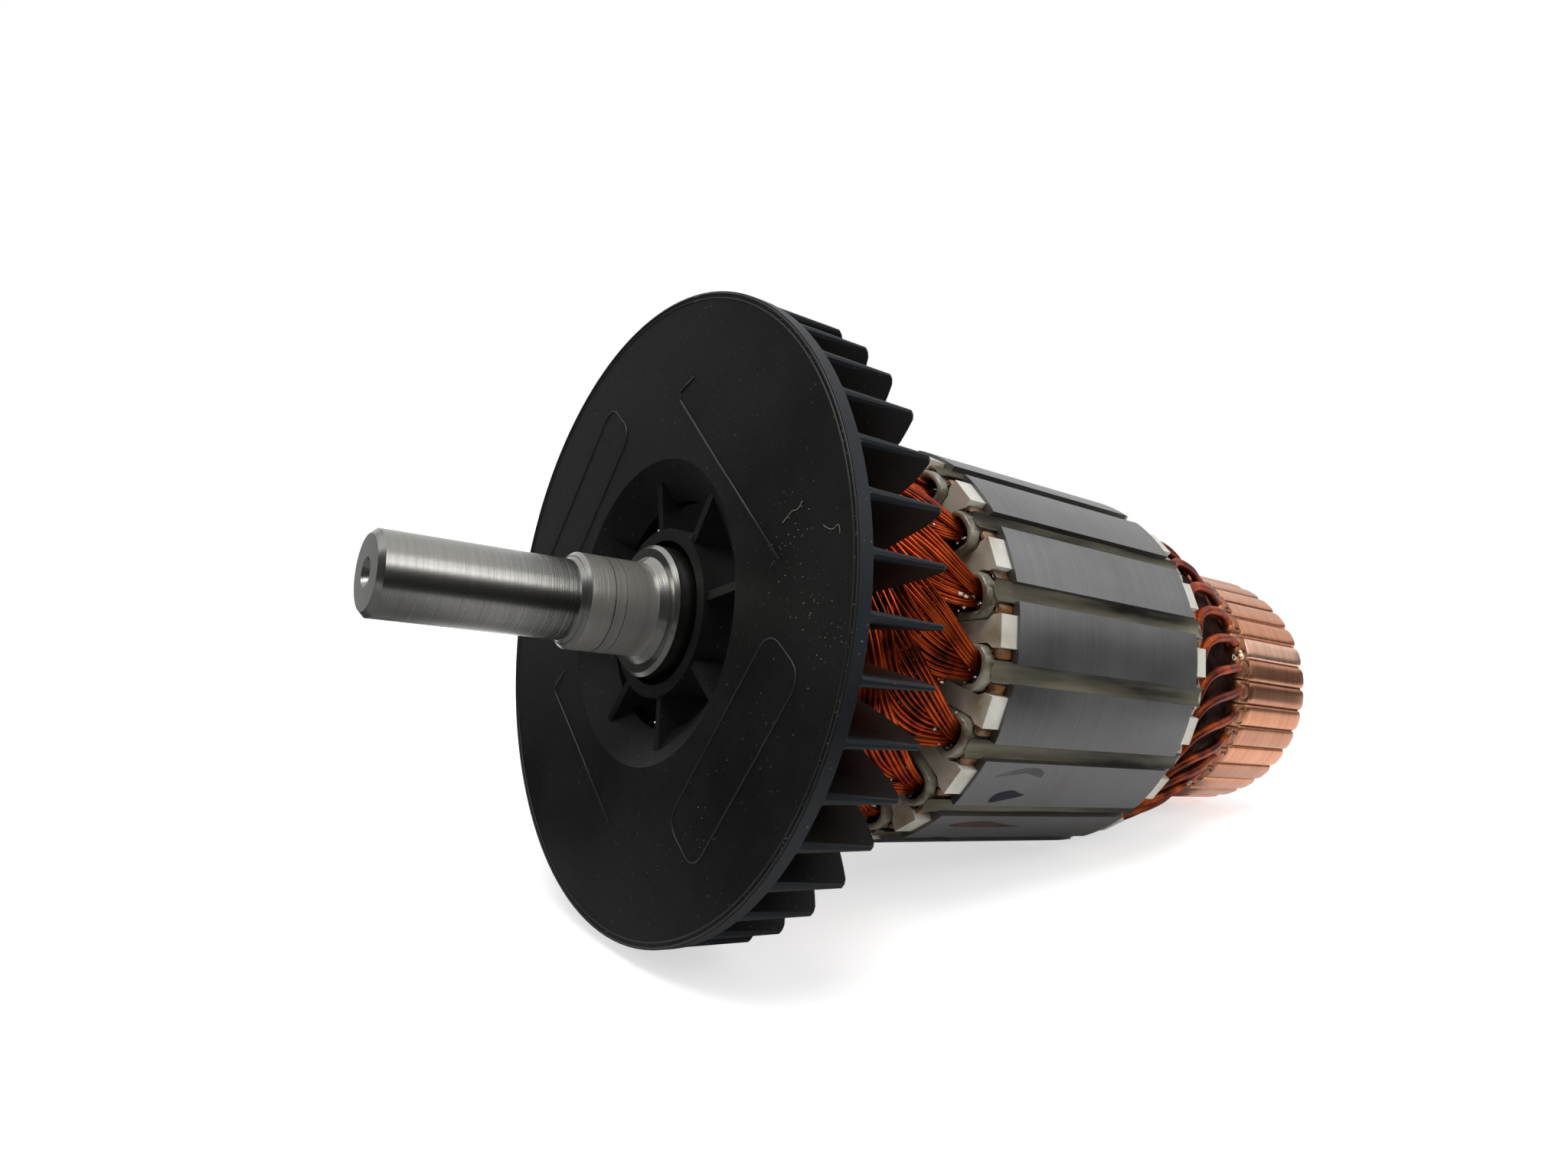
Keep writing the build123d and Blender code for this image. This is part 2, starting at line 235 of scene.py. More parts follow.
def enamel(name, dark, middle, bright, coat=0.0, roughness=0.28, metallic=0.9):
    """Enamelled copper wire whose tone differs from strand to strand."""
    made = material(name, middle, roughness, metallic=metallic, coat=coat, specular=0.3)
    shader = made.node_tree.nodes["Principled BSDF"]
    shader.inputs["Specular Tint"].default_value = (0.75, 0.32, 0.16, 1.0)
    cloud = noise(made, 200, 4)
    tone = ramp(made, cloud, [(0.34, dark), (0.47, middle), (0.68, bright)])
    strand = each_island(made, [(0.0, grey(0.42)), (0.45, grey(0.9)), (1.0, grey(1.4))])
    drive_input(made, "Base Color", multiply(made, tone, strand))
    vary_roughness(made, cloud, roughness - 0.08, roughness + 0.08)
    return made


def copper(name, light, dark, roughness=0.34, spread=0.8, scale=120):
    """Turned copper whose tone differs from bar to bar."""
    made = material(name, light, roughness, metallic=0.92)
    turned = noise(made, 14, 3, (1, scale, 1), ALONG_SHAFT)
    cloud = noise(made, 60, 3)
    tone = ramp(made, turned, [(0.3, dark), (0.65, light)])
    bar = each_island(made, [(0.0, grey(spread)), (0.5, grey(1.0)), (1.0, (1.06, 1.03, 1.0))])
    drive_input(made, "Base Color", multiply(made, tone, bar))
    vary_roughness(made, cloud, roughness - 0.02, roughness + 0.05)
    bump(made, turned, 0.00001, 0.4)
    return made


steel = turned_steel("turned_steel", (0.262, 0.258, 0.240), (0.300, 0.297, 0.280), 0.00002, 200)
seat_steel = turned_steel(
    "ground_seat", (0.50, 0.482, 0.435), (0.58, 0.560, 0.510), 0.00003, 45, metallic=0.72
)
ring_mark = material("ring_mark", (0.12, 0.12, 0.13), 0.35, metallic=1.0)
plastic = fan_plastic("fan_plastic", (0.0050, 0.0053, 0.0050), (0.0126, 0.0131, 0.0123), 0.11)
# Lighter, bluish copy of the fan plastic for the outward faces at the blade tips and the disc's
# rim: painted sheen.
painted_sheen_plastic = fan_plastic("fan_edge_painted_sheen", (0.0068, 0.0090, 0.0118), (0.0135, 0.0170, 0.0215), 0.2)
laminations = core_steel()
plate_face = insulation(
    "plate_face", (0.55, 0.51, 0.42), (0.30, 0.24, 0.16), 0.35, coat=0.3, low=0.33, high=0.52
)
# Lighter copy of the plate colour for the outward-facing rim: painted light.
plate_rim_painted_light = insulation(
    "plate_rim_painted_light", (0.70, 0.69, 0.62), (0.50, 0.47, 0.39), 0.42, coat=0.1, low=0.36, high=0.56
)
liner_paper = insulation(
    "liner_paper",
    (0.27, 0.250, 0.190),
    (0.075, 0.058, 0.032),
    0.28,
    coat=0.4,
    low=0.36,
    high=0.58,
    scale=240,
)
slot_wedge = insulation(
    "slot_wedge",
    (0.170, 0.155, 0.105),
    (0.014, 0.010, 0.006),
    0.45,
    coat=0.06,
    low=0.38,
    high=0.68,
    scale=300,
    specular=0.2,
    stretch=(1, 0.12, 1),
)
wire_enamel = enamel(
    "enamelled_wire", (0.055, 0.009, 0.004), (0.33, 0.043, 0.009), (0.62, 0.108, 0.021), coat=0.15
)
lead_enamel = enamel(
    "lead_enamel",
    (0.035, 0.006, 0.002),
    (0.15, 0.024, 0.006),
    (0.42, 0.090, 0.02),
    roughness=0.36,
    metallic=0.55,
)
bar_copper = copper("bar_copper", (0.59, 0.265, 0.142), (0.47, 0.190, 0.098), 0.3, spread=0.72)
bar_tinted = copper("bar_tinted", (0.80, 0.50, 0.36), (0.62, 0.36, 0.27), 0.3, spread=1.0)
riser_copper = copper(
    "riser_copper", (0.40, 0.165, 0.078), (0.19, 0.068, 0.030), 0.46, spread=0.75, scale=20
)
burnt = insulation(
    "burnt_varnish", (0.075, 0.028, 0.014), (0.018, 0.007, 0.004), coat=0.05, specular=0.2
)
# Pale tin whose colour paints a bright glint on a riser.
tin_painted_glint = material("tin_painted_glint", (1.0, 0.80, 0.52), 0.3, metallic=0.35)
mica = insulation("mica", (0.06, 0.04, 0.028), (0.025, 0.016, 0.012), 0.55)
dark_moulding = insulation("dark_moulding", (0.035, 0.02, 0.014), (0.015, 0.009, 0.007), 0.4)
sleeve_tube = insulation("sleeve_tube", (0.03, 0.025, 0.02), (0.02, 0.017, 0.014), 0.5)
varnish = insulation(
    "varnish_dark",
    (0.012, 0.0065, 0.005),
    (0.004, 0.003, 0.003),
    0.1,
    coat=0.8,
    low=0.3,
    high=0.7,
    scale=400,
)
varnish_amber = insulation(
    "varnish_amber",
    (0.23, 0.105, 0.035),
    (0.055, 0.020, 0.009),
    0.22,
    coat=0.4,
    low=0.4,
    high=0.62,
    scale=420,
)
varnish_bed = insulation(
    "varnish_bed",
    (0.040, 0.010, 0.004),
    (0.006, 0.002, 0.0015),
    0.75,
    low=0.4,
    high=0.7,
    scale=220,
    specular=0.04,
)
# Pale varnish: real rings between the leads, and beads on the coil heads that are painted
# highlights.
varnish_pale_and_painted_highlight = insulation("varnish_pale_and_painted_highlight", (0.75, 0.70, 0.62), (0.45, 0.36, 0.28), 0.12, coat=0.6)
ink = insulation("ink", (0.022, 0.021, 0.033), (0.012, 0.012, 0.019), 0.55, specular=0.08)
ink_faint = insulation(
    "ink_faint", (0.115, 0.115, 0.12), (0.075, 0.075, 0.082), 0.5, specular=0.1
)
dust = insulation("dust", (0.30, 0.29, 0.24), (0.10, 0.10, 0.085), 0.8)
moulded_line = insulation("moulded_line", (0.016, 0.017, 0.0165), (0.009, 0.0095, 0.0095), 0.42)


# Meshes


def new_piece(name, vertices, faces, made, smooth=True, body="root"):
    """Mesh piece from vertices in the shaft's frame, in metres."""
    mesh = bpy.data.meshes.new(name)
    placed = np.asarray(vertices, float)
    turn = np.array(to_world.to_3x3())
    placed = placed @ turn.T + np.array(to_world.translation)
    mesh.from_pydata(placed.tolist(), [], faces)
    mesh.validate()
    mesh.update()
    if smooth:
        mesh.shade_smooth()
    mesh.materials.append(made)
    piece = bpy.data.objects.new(name, mesh)
    bpy.context.scene.collection.objects.link(piece)
    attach(piece, body)
    return piece


def tube(path, radius, sides):
    """Vertices and faces of a round tube along a path, closed at both ends."""
    count = len(path)
    ahead = np.gradient(path, axis=0)
    ahead /= np.linalg.norm(ahead, axis=1)[:, None]
    unlike_any_path = (0.3, 0.5, 0.8)
    normal = np.cross(ahead[0], unlike_any_path)
    normal /= np.linalg.norm(normal)
    rows = []
    turns = np.linspace(0, 2 * math.pi, sides, endpoint=False)
    for step in range(count):
        normal = normal - ahead[step] * (normal @ ahead[step])
        normal /= np.linalg.norm(normal)
        side = np.cross(ahead[step], normal)
        ring = np.cos(turns)[:, None] * normal + np.sin(turns)[:, None] * side
        rows.append(path[step] + radius * ring)
    faces = []
    for step in range(count - 1):
        for k in range(sides):
            a = step * sides + k
            b = step * sides + (k + 1) % sides
            faces.append((a, b, b + sides, a + sides))
    faces.append(tuple(reversed(range(sides))))
    faces.append(tuple(range((count - 1) * sides, count * sides)))
    return np.concatenate(rows), faces


def joined(parts):
    """One list of vertices and faces from several."""
    vertices, faces, offset = [], [], 0
    for part_vertices, part_faces in parts:
        vertices.append(part_vertices)
        faces.extend(tuple(i + offset for i in face) for face in part_faces)
        offset += len(part_vertices)
    return np.concatenate(vertices), faces


def smooth_rows(rows, per_span):
    """Smooth curve through rows of control numbers, with steps per span."""
    rows = np.asarray(rows, float)
    ends = np.vstack([2 * rows[0] - rows[1], rows, 2 * rows[-1] - rows[-2]])
    out = []
    for i in range(1, len(ends) - 2):
        before, start, stop, after = ends[i - 1 : i + 3]
        for k in range(per_span):
            t = k / per_span
            out.append(
                0.5
                * (
                    2 * start
                    + (stop - before) * t
                    + (2 * before - 5 * start + 4 * stop - after) * t**2
                    + (3 * start - before - 3 * stop + after) * t**3
                )
            )
    out.append(rows[-1])
    return np.array(out)


def in_slot(radius, sideways, s, angle):
    """Point given by its radius along a slot's middle and its distance from that middle."""
    turn = math.radians(angle)
    radius, sideways, s = np.broadcast_arrays(radius, sideways, s)
    x = radius * math.cos(turn) - sideways * math.sin(turn)
    y = radius * math.sin(turn) + sideways * math.cos(turn)
    return np.stack((x, y, s), axis=-1) * MM


def grid_faces(rows, columns, closed_columns=False):
    """Quads of a grid of vertices, row after row."""
    faces = []
    for i in range(rows - 1):
        for j in range(columns if closed_columns else columns - 1):
            right = (j + 1) % columns
            here, under = i * columns, (i + 1) * columns
            faces.append((here + j, here + right, under + right, under + j))
    return faces


def blob(radius, angle, s, sizes, shaker, rise=0.12, power=1.0, steps=(7, 12)):
    """Lump of varnish with its half sizes outward, sideways and along the shaft."""
    rings, sides = steps
    pole = 0.04
    polar = np.linspace(pole, math.pi - pole, rings)[:, None]
    turn = np.linspace(0, 2 * math.pi, sides, endpoint=False)[None, :]
    along_waves = polar * shaker.uniform(2, 5)
    around_waves = turn * shaker.choice((1, 2, 3))
    waves = 1 + rise * np.sin(along_waves + around_waves + shaker.uniform(0, 6))

    def boxy(value):
        return np.sign(value) * np.abs(value) ** power

    out = sizes[0] * boxy(np.sin(polar)) * boxy(np.cos(turn)) * waves
    side = sizes[1] * boxy(np.sin(polar)) * boxy(np.sin(turn)) * waves
    along = sizes[2] * boxy(np.cos(polar)) * waves
    points = in_slot(radius + out, side, s + along, angle).reshape(-1, 3)
    faces = grid_faces(rings, sides, closed_columns=True)
    faces.append(tuple(range(sides)))
    faces.append(tuple(reversed(range((rings - 1) * sides, rings * sides))))
    return points, faces


# Fan blades: flared where they stand on the disc, thin at the back, with rounded edges.
# Rows give s, half the thickness and the outer radius.
BLADES = 40
FIRST_BLADE = 4.54
BLADE_INNER = 24.0
BLADE_ROWS = [
    (DISC_BACK, 1.375, 41.1),
    (DISC_BACK + 0.12, 1.05, 41.1),
    (DISC_BACK + 0.35, 0.80, 41.1),
    (DISC_BACK + 0.70, 0.675, 41.1),
    (6.0, 0.56, 41.1),
    (9.0, 0.43, 41.1),
    (11.2, 0.34, 41.1),
    (11.9, 0.31, 41.1),
    (12.4, 0.29, 40.75),
    (12.8, 0.27, 40.2),
    (13.25, 0.25, 38.75),
    (13.7, 0.24, 37.0),
    (14.1, 0.22, 30.5),
    (14.36, 0.20, 24.6),
]
blades = []
for number in range(BLADES):
    angle = FIRST_BLADE + number * 360 / BLADES
    rows = []
    for s, half, outer in BLADE_ROWS:
        round_edge = [(outer, 0.3), (outer - 0.3 * half, 0.8), (outer - half, 1.0)]
        round_edge.append((BLADE_INNER, 1.0))
        other_side = [(radius, -share) for radius, share in reversed(round_edge)]
        radii, shares = np.array(other_side[-1:] + round_edge + other_side[:-1]).T
        rows.append(in_slot(radii, shares * half, s, angle))
    count = len(radii)
    faces = grid_faces(len(rows), count, closed_columns=True)
    faces.append(tuple(reversed(range(count))))
    faces.append(tuple(range((len(rows) - 1) * count, len(rows) * count)))
    blades.append((np.concatenate(rows), faces))
fan_vanes = new_piece("fan_vanes", *joined(blades), plastic, smooth=False)
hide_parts("fan_blades")


# Coil heads. Each row gives a bundle's middle line and how its wires lie there:
# share of the throw passed, radius, distance from the core, lean of the outward
# normal towards the end, half width and half depth of the bundle. The straight
# bundle leaves the slot along the shaft and turns sharply; the slanting one
# crosses over it.
THROW = 8
WIRE_RADIUS = 0.30
WIRE_SIDES = 6
FRONT_STRAIGHT = [
    (0.004, 23.7, -2.0, 0, 1.6, 1.7),
    (0.004, 23.8, 3.0, 0, 1.7, 1.6),
    (0.006, 24.2, 6.6, 4, 2.1, 1.1),
    (0.018, 24.7, 11.0, 10, 2.6, 0.7),
    (0.048, 24.6, 15.2, 24, 2.9, 0.5),
    (0.098, 23.9, 18.4, 44, 3.0, 0.45),
    (0.180, 23.0, 20.0, 56, 3.0, 0.45),
    (0.300, 21.5, 20.6, 62, 2.9, 0.5),
    (0.420, 19.3, 20.7, 66, 2.7, 0.6),
    (0.520, 16.9, 20.2, 80, 2.4, 0.8),
    (0.630, 15.1, 18.2, 110, 2.1, 1.0),
    (0.760, 14.6, 14.0, 150, 1.9, 1.2),
    (0.900, 16.6, 8.5, 170, 1.8, 1.4),
    (0.996, 20.2, 3.4, 180, 1.6, 1.7),
    (0.996, 20.2, -2.0, 180, 1.6, 1.7),
]
FRONT_SLANTING = [
    (0.006, 24.9, -2.0, 0, 1.0, 0.7),
    (0.008, 25.1, 3.2, 0, 1.1, 0.6),
    (0.034, 25.7, 7.0, 5, 1.3, 0.4),
    (0.078, 26.0, 11.4, 14, 1.5, 0.36),
    (0.130, 25.6, 15.6, 30, 1.7, 0.36),
    (0.190, 24.6, 18.8, 46, 1.8, 0.36),
    (0.290, 22.9, 20.8, 58, 1.8, 0.36),
    (0.410, 20.4, 21.2, 62, 1.8, 0.4),
    (0.520, 17.6, 20.8, 75, 1.7, 0.6),
    (0.640, 15.4, 18.8, 110, 1.6, 0.8),
    (0.770, 14.4, 14.0, 150, 1.5, 0.9),
    (0.900, 16.4, 8.5, 170, 1.4, 1.0),
    (0.996, 20.4, 3.4, 180, 1.3, 1.2),
    (0.996, 20.4, -2.0, 180, 1.3, 1.2),
]
REAR_HEAD = [
    (0.000, 24.2, -2.0, 0, 1.7, 1.7),
    (0.004, 24.2, 3.4, 0, 1.7, 1.7),
    (0.050, 23.6, 6.5, 5, 2.2, 1.0),
    (0.120, 23.0, 11.0, 15, 3.0, 0.6),
    (0.220, 21.4, 15.0, 32, 3.0, 0.6),
    (0.380, 19.2, 18.2, 55, 2.8, 0.7),
    (0.520, 16.2, 18.6, 80, 2.4, 0.9),
    (0.680, 14.6, 16.0, 120, 2.2, 1.1),
    (0.850, 15.6, 9.5, 160, 1.8, 1.4),
    (0.996, 20.2, 3.4, 180, 1.7, 1.7),
    (1.000, 20.2, -2.0, 180, 1.7, 1.7),
]


def head_wires(rows, top_angle, end, outward, shaker, count, layers, per_span=5):
    """Wires of one bundle, from the top of its slot to the bottom of the other."""
    line = smooth_rows(rows, per_span)
    share, radius, reach, lean, width, depth = line.T
    wires = []
    for i in range(count):
        for j in range(layers):
            x = (2 * (i + 0.5) / count - 1) + (0.06 if j else -0.06)
            y = 1 - 2 * j / max(layers - 1, 1)
            stray = shaker.uniform(-0.002, 0.003)
            own_share = share + stray * np.sin(math.pi * np.clip(share, 0, 1))
            angle = top_angle - own_share * THROW * SLOT_PITCH
            middle = on_shaft(radius, angle, end + outward * reach)
            ahead = np.gradient(middle, axis=0)
            ahead /= np.linalg.norm(ahead, axis=1)[:, None]
            tilt = np.radians(lean)
            out = on_shaft(np.cos(tilt), angle, outward * np.sin(tilt)) / MM
            side = np.cross(ahead, out)
            side /= np.linalg.norm(side, axis=1)[:, None]
            out = np.cross(side, ahead)
            sway = np.linspace(0, shaker.uniform(4, 11), len(middle))
            wobble = np.sin(sway + shaker.uniform(0, 6))
            dx = x * width + 0.06 * wobble + shaker.uniform(-0.05, 0.05)
            dy = y * depth + 0.07 * np.roll(wobble, 5) + shaker.uniform(-0.09, 0.1)
            path = middle + (side * dx[:, None] + out * dy[:, None]) * MM
            wires.append(tube(path, WIRE_RADIUS * MM, WIRE_SIDES))
    return wires


for number in range(SLOTS):
    shaker = random.Random(100 + number)
    top_angle = FIRST_SLOT + (number + THROW) * SLOT_PITCH
    wires = head_wires(FRONT_STRAIGHT, top_angle, CORE_FRONT, -1, shaker, count=8, layers=2)
    wires += head_wires(FRONT_SLANTING, top_angle, CORE_FRONT, -1, shaker, count=5, layers=1)
    wires += head_wires(
        REAR_HEAD, top_angle, CORE_BACK, 1, shaker, count=8, layers=2, per_span=4
    )
    node = f"coil_{number + 1:02d}"
    winding = new_piece(f"wires_{number + 1:02d}", *joined(wires), wire_enamel)
    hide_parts(node)


# Insulation of the slots: thick rounded cuffs round their mouths, and the hollow
# band between the tooth tips that shuts each slot.


def rounded(points, passes):
    """Closed outline with its corners cut."""
    for _ in range(passes):
        ahead = np.roll(points, -1, axis=0)
        near, far = 0.75 * points + 0.25 * ahead, 0.25 * points + 0.75 * ahead
        points = np.stack((near, far), axis=1).reshape(-1, 2)
    return points


# Half of a cuff's outline: radius along the slot's middle and distance from it.
CUFF_HALF = [(17.85, 0.9), (18.4, 1.86), (24.6, 3.02), (26.5, 3.05), (27.75, 1.3)]
CUFF_WALL = 0.95
CUFF_REACH = 4.35
half_outline = np.array(CUFF_HALF)
cuff_outline = rounded(np.vstack([half_outline, half_outline[::-1] * (1, -1)]), 2)
cuff_tangent = np.roll(cuff_outline, -1, axis=0) - np.roll(cuff_outline, 1, axis=0)
cuff_tangent /= np.linalg.norm(cuff_tangent, axis=1)[:, None]
cuff_inward = np.column_stack((cuff_tangent[:, 1], -cuff_tangent[:, 0]))
# Share of the wall inward and distance back from the mouth, over the rolled lip.
lip_turns = np.linspace(0, math.pi, 7)
lip = [(0.5 - 0.5 * math.cos(turn), 0.5 - 0.5 * math.sin(turn)) for turn in lip_turns]
cuff_profile = [(0.0, 5.0)] + lip + [(1.0, 6.5)]

# Varnish in a slot's mouth: radius, degrees aside, reach from the core, half sizes, rise.
MOUTH_LUMPS = [
    (24.0, 2.2, 1.9, (2.6, 1.6, 1.6), 0.1),
    (25.6, 3.4, 3.4, (0.9, 0.8, 0.8), 0.15),
]
# Varnish that fills the step between a tooth's head and the cuff.
PATCH_RADIUS = 27.2
PATCH_ASIDE = 2.84
PATCH_REACH = 1.35
PATCH_SIZES = (0.72, 0.74, 1.42)
BAND_RADIUS = 27.85
BAND_HALF_WIDTH = 1.45
BAND_OVERHANG = 3.2
BAND_HOLLOW = 0.27
# Pale beads scattered on the front coil heads: painted highlights of the glossy varnish.
HIGHLIGHT_BEADS_PER_SLOT = 15
HEAD_RADIUS = 25.35

cuffs, bands, plugs, fillets, beads = [], [], [], [], []
for number in range(SLOTS):
    shaker = random.Random(300 + number)
    angle = FIRST_SLOT + number * SLOT_PITCH
    tooth = angle + SLOT_PITCH / 2
    for end, outward in ((CORE_FRONT, -1), (CORE_BACK, 1)):
        rows = []
        for inset, back in cuff_profile:
            outline = cuff_outline + cuff_inward * inset * CUFF_WALL
            wave = 0.10 * np.sin(np.linspace(0, 4 * math.pi, len(outline)) + number)
            s = end + outward * (CUFF_REACH - back + wave * (back < 1))
            rows.append(in_slot(outline[:, 0], outline[:, 1], s, angle))
        faces = grid_faces(len(rows), len(cuff_outline), closed_columns=True)
        cuffs.append((np.concatenate(rows), faces))
        for radius, aside, reach, sizes, rise in MOUTH_LUMPS:
            plugs.append(blob(radius, angle + aside, end + outward * reach, sizes, shaker, rise))
        for side in (-1, 1):
            s = end + outward * PATCH_REACH
            patch = blob(PATCH_RADIUS, tooth, s, PATCH_SIZES, shaker, 0.03, 0.32, (10, 20))
            points = patch[0] + in_slot(0.0, side * PATCH_ASIDE, 0.0, tooth)
            fillets.append((points, patch[1]))
    across_band = np.linspace(-BAND_HALF_WIDTH, BAND_HALF_WIDTH, 9)
    along_band = np.linspace(CORE_FRONT - BAND_OVERHANG, CORE_BACK + BAND_OVERHANG, 25)
    sag = 0.05 * np.sin(along_band * shaker.uniform(0.25, 0.5) + shaker.uniform(0, 6))
    rows = []
    for s, dip in zip(along_band, sag):
        radius = BAND_RADIUS + dip + BAND_HOLLOW * across_band**2
        rows.append(in_slot(radius, across_band, s, angle))
    bands.append((np.concatenate(rows), grid_faces(len(rows), len(across_band))))
    for _ in range(HIGHLIGHT_BEADS_PER_SLOT):
        highlight_angle = angle + shaker.uniform(-9, 6)
        reach = shaker.uniform(4.2, 15.5)
        size = shaker.uniform(0.09, 0.3)
        radius = HEAD_RADIUS + shaker.uniform(-0.2, 0.35) - max(reach - 11, 0) * 0.2
        sizes = (size * 0.7, size, size * shaker.uniform(0.8, 1.8))
        s = CORE_FRONT - reach
        beads.append(blob(radius, highlight_angle, s, sizes, shaker, rise=0.2, steps=(5, 8)))

slot_cuffs = new_piece("slot_cuffs", *joined(cuffs), liner_paper)
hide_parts("slot_liners")
slot_bands = new_piece("slot_bands", *joined(bands), slot_wedge)
new_piece("mouth_varnish", *joined(plugs), varnish)
new_piece("plate_varnish", *joined(fillets), varnish_amber)
# Painted highlights: pale beads on the front coil heads.
new_piece("painted_highlight_beads", *joined(beads), varnish_pale_and_painted_highlight)


# Leads from the winding to the risers: each lies along the rear heads, then arches
# down to its own bar. Rows give radius, s and degrees behind the bar.
LEAD_COURSE = [
    (26.1, 82.0, 33.0),
    (26.3, 82.2, 23.5),
    (26.5, 82.7, 14.5),
    (26.6, 84.3, 8.0),
    (26.3, 87.8, 4.4),
    (25.6, 91.6, 2.8),
    (24.6, 95.3, 1.6),
    (23.2, 98.7, 0.6),
    (22.0, 101.6, 0.1),
    (21.4, 103.2, 0.0),
]
LEAD_RADIUS = 0.78
LEAD_SIDES = 9
# Small pale rings of varnish between the leads.
RING_PLACE, RING_S = 24.9, 95.3
RING_RADIUS, RING_THICKNESS = 0.42, 0.09
leads, rings = [], []
for number in range(BARS):
    shaker = random.Random(500 + number)
    line = smooth_rows(LEAD_COURSE, 4)
    steps = np.linspace(0, 1, len(line))
    sway = np.sin(steps * math.pi)
    radius = line[:, 0] + shaker.uniform(-0.25, 0.05) * sway
    s = line[:, 1] + shaker.uniform(-0.4, 0.4) * sway
    angle = FIRST_BAR + number * BAR_PITCH + line[:, 2] + shaker.uniform(-0.9, 0.9) * sway
    thickness = LEAD_RADIUS * MM * shaker.uniform(0.88, 1.06)
    leads.append(tube(on_shaft(radius, angle, s), thickness, LEAD_SIDES))
    if number % 5 == 1:
        turns = np.linspace(0, 2 * math.pi, 15)
        ring_angle = FIRST_BAR + (number + 0.45) * BAR_PITCH + 4
        aside, along = RING_RADIUS * np.cos(turns), RING_S + RING_RADIUS * np.sin(turns)
        ring = in_slot(RING_PLACE, aside, along, ring_angle)
        rings.append(tube(ring, RING_THICKNESS * MM, 5))
lead_strands = new_piece("lead_strands", *joined(leads), lead_enamel)
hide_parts("lead_wires", "lead_wrap")
new_piece("varnish_rings", *joined(rings), varnish_pale_and_painted_highlight)

# Varnished bed under the leads: s and radius, with lumps between the leads.
BED = [
    (80.9, 25.4),
    (82.5, 26.0),
    (85.0, 25.7),
    (88.0, 25.1),
    (92.0, 23.9),
    (96.0, 22.6),
    (99.0, 21.6),
    (101.3, 21.0),
]
BED_WAVES = 23
bed_line = smooth_rows(BED, 3)
around = np.linspace(0, 360, 170, endpoint=False)
rows = []
for s, radius in bed_line:
    fine_lumps = 0.22 * np.sin(np.radians(around) * BARS + s * 0.9)
    broad_lumps = 0.14 * np.sin(np.radians(around) * BED_WAVES - s * 1.7)
    lumps = fine_lumps + broad_lumps
    rows.append(on_shaft(radius + lumps, around, s))
bed = np.concatenate(rows), grid_faces(len(rows), len(around), closed_columns=True)
new_piece("lead_bed", *bed, varnish_bed)


# Commutator bars: crowned tops, a fused pad on each riser and rounded rear corners.
# Rows give s and radius.
BAR_COURSE = [
    (101.0, 21.7),
    (101.35, 22.25),
    (101.8, 22.35),
    (104.6, 22.35),
    (104.95, 22.0),
    (105.25, 21.3),
    (105.75, 21.25),
    (106.1, 21.35),
    (106.5, 21.5),
    (124.2, 21.5),
    (124.7, 21.4),
    (125.0, 21.15),
    (125.15, 20.9),
    (125.19, 20.3),
]
BAR_FLOOR = 17.6
BAR_GAP = 0.15
BAR_END_ROUND_S = 123.0
BAR_END_ROUND = 2.19
PAD_S = 103.35
PAD_RADIUS = 1.25
HALF_BAR = math.tan(math.radians(BAR_PITCH / 2))
course_s, course_r = np.array(BAR_COURSE).T
riser_steps, track_steps = np.arange(101.6, RISER_BACK, 0.22), np.arange(107.5, 124.2, 2.4)
fine_s = np.unique(np.concatenate([course_s, riser_steps, track_steps]))
top_radius = np.interp(fine_s, course_s, course_r)
across_bar = np.linspace(-1, 1, 15)
bars = []
for number in range(BARS):
    shaker = random.Random(700 + number)
    angle = FIRST_BAR + number * BAR_PITCH
    pad_s = PAD_S + shaker.uniform(-0.2, 0.2)
    rows = []
    for s, radius in zip(fine_s, top_radius):
        on_riser = s < RISER_BACK
        sideways = across_bar * (radius * HALF_BAR - BAR_GAP)
        crowned = radius - 0.36 * np.abs(across_bar) ** 4
        reach = np.hypot(s - pad_s, sideways) / PAD_RADIUS
        groove = 0.22 * np.exp(-(((reach - 1.1) / 0.14) ** 2)) * on_riser
        pad = 0.08 * np.clip(1 - reach, 0, 1) - groove
        lump = 0.05 * math.sin(s * 5 + number * 1.7) * on_riser
        end_share = max(s - BAR_END_ROUND_S, 0) / BAR_END_ROUND
        own_s = s - 0.5 * end_share * np.abs(across_bar) ** 3
        top = in_slot(crowned + pad * (radius > 22) + lump, sideways, own_s, angle)
        foot_width = BAR_FLOOR * HALF_BAR - BAR_GAP
        left = in_slot(BAR_FLOOR, -foot_width, own_s[0], angle)[None, :]
        right = in_slot(BAR_FLOOR, foot_width, own_s[-1], angle)[None, :]
        rows.append(np.concatenate([left, top, right]))
    columns = len(rows[0])
    for first, edge in ((True, rows[0]), (False, rows[-1])):
        closed = edge.copy()
        foot = np.linspace(-foot_width, foot_width, columns)
        local = in_slot(BAR_FLOOR, foot, edge[:, 2] / MM, angle)
        closed[:, :2] = local[:, :2]
        rows.insert(0, closed) if first else rows.append(closed)
    faces = [tuple(reversed(face)) for face in grid_faces(len(rows), columns)]
    bars.append((np.concatenate(rows), faces))
commutator = new_piece("bars", *joined(bars), bar_copper)
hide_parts("commutator_bars")


# Two small tin lumps on a riser, painted pale as a bright glint.
shaker = random.Random(950)
tin_angle = FIRST_BAR + 6.5 * BAR_PITCH
tin = [
    blob(22.3, tin_angle + 0.5, 102.2, (0.5, 0.6, 0.5), shaker),
    blob(22.3, tin_angle - 1.3, 102.1, (0.4, 0.4, 0.35), shaker),
]
new_piece("tin_painted_glint_spots", *joined(tin), tin_painted_glint)


# Marks: thin patches that lie on the core, lines and dust on the fan's face.


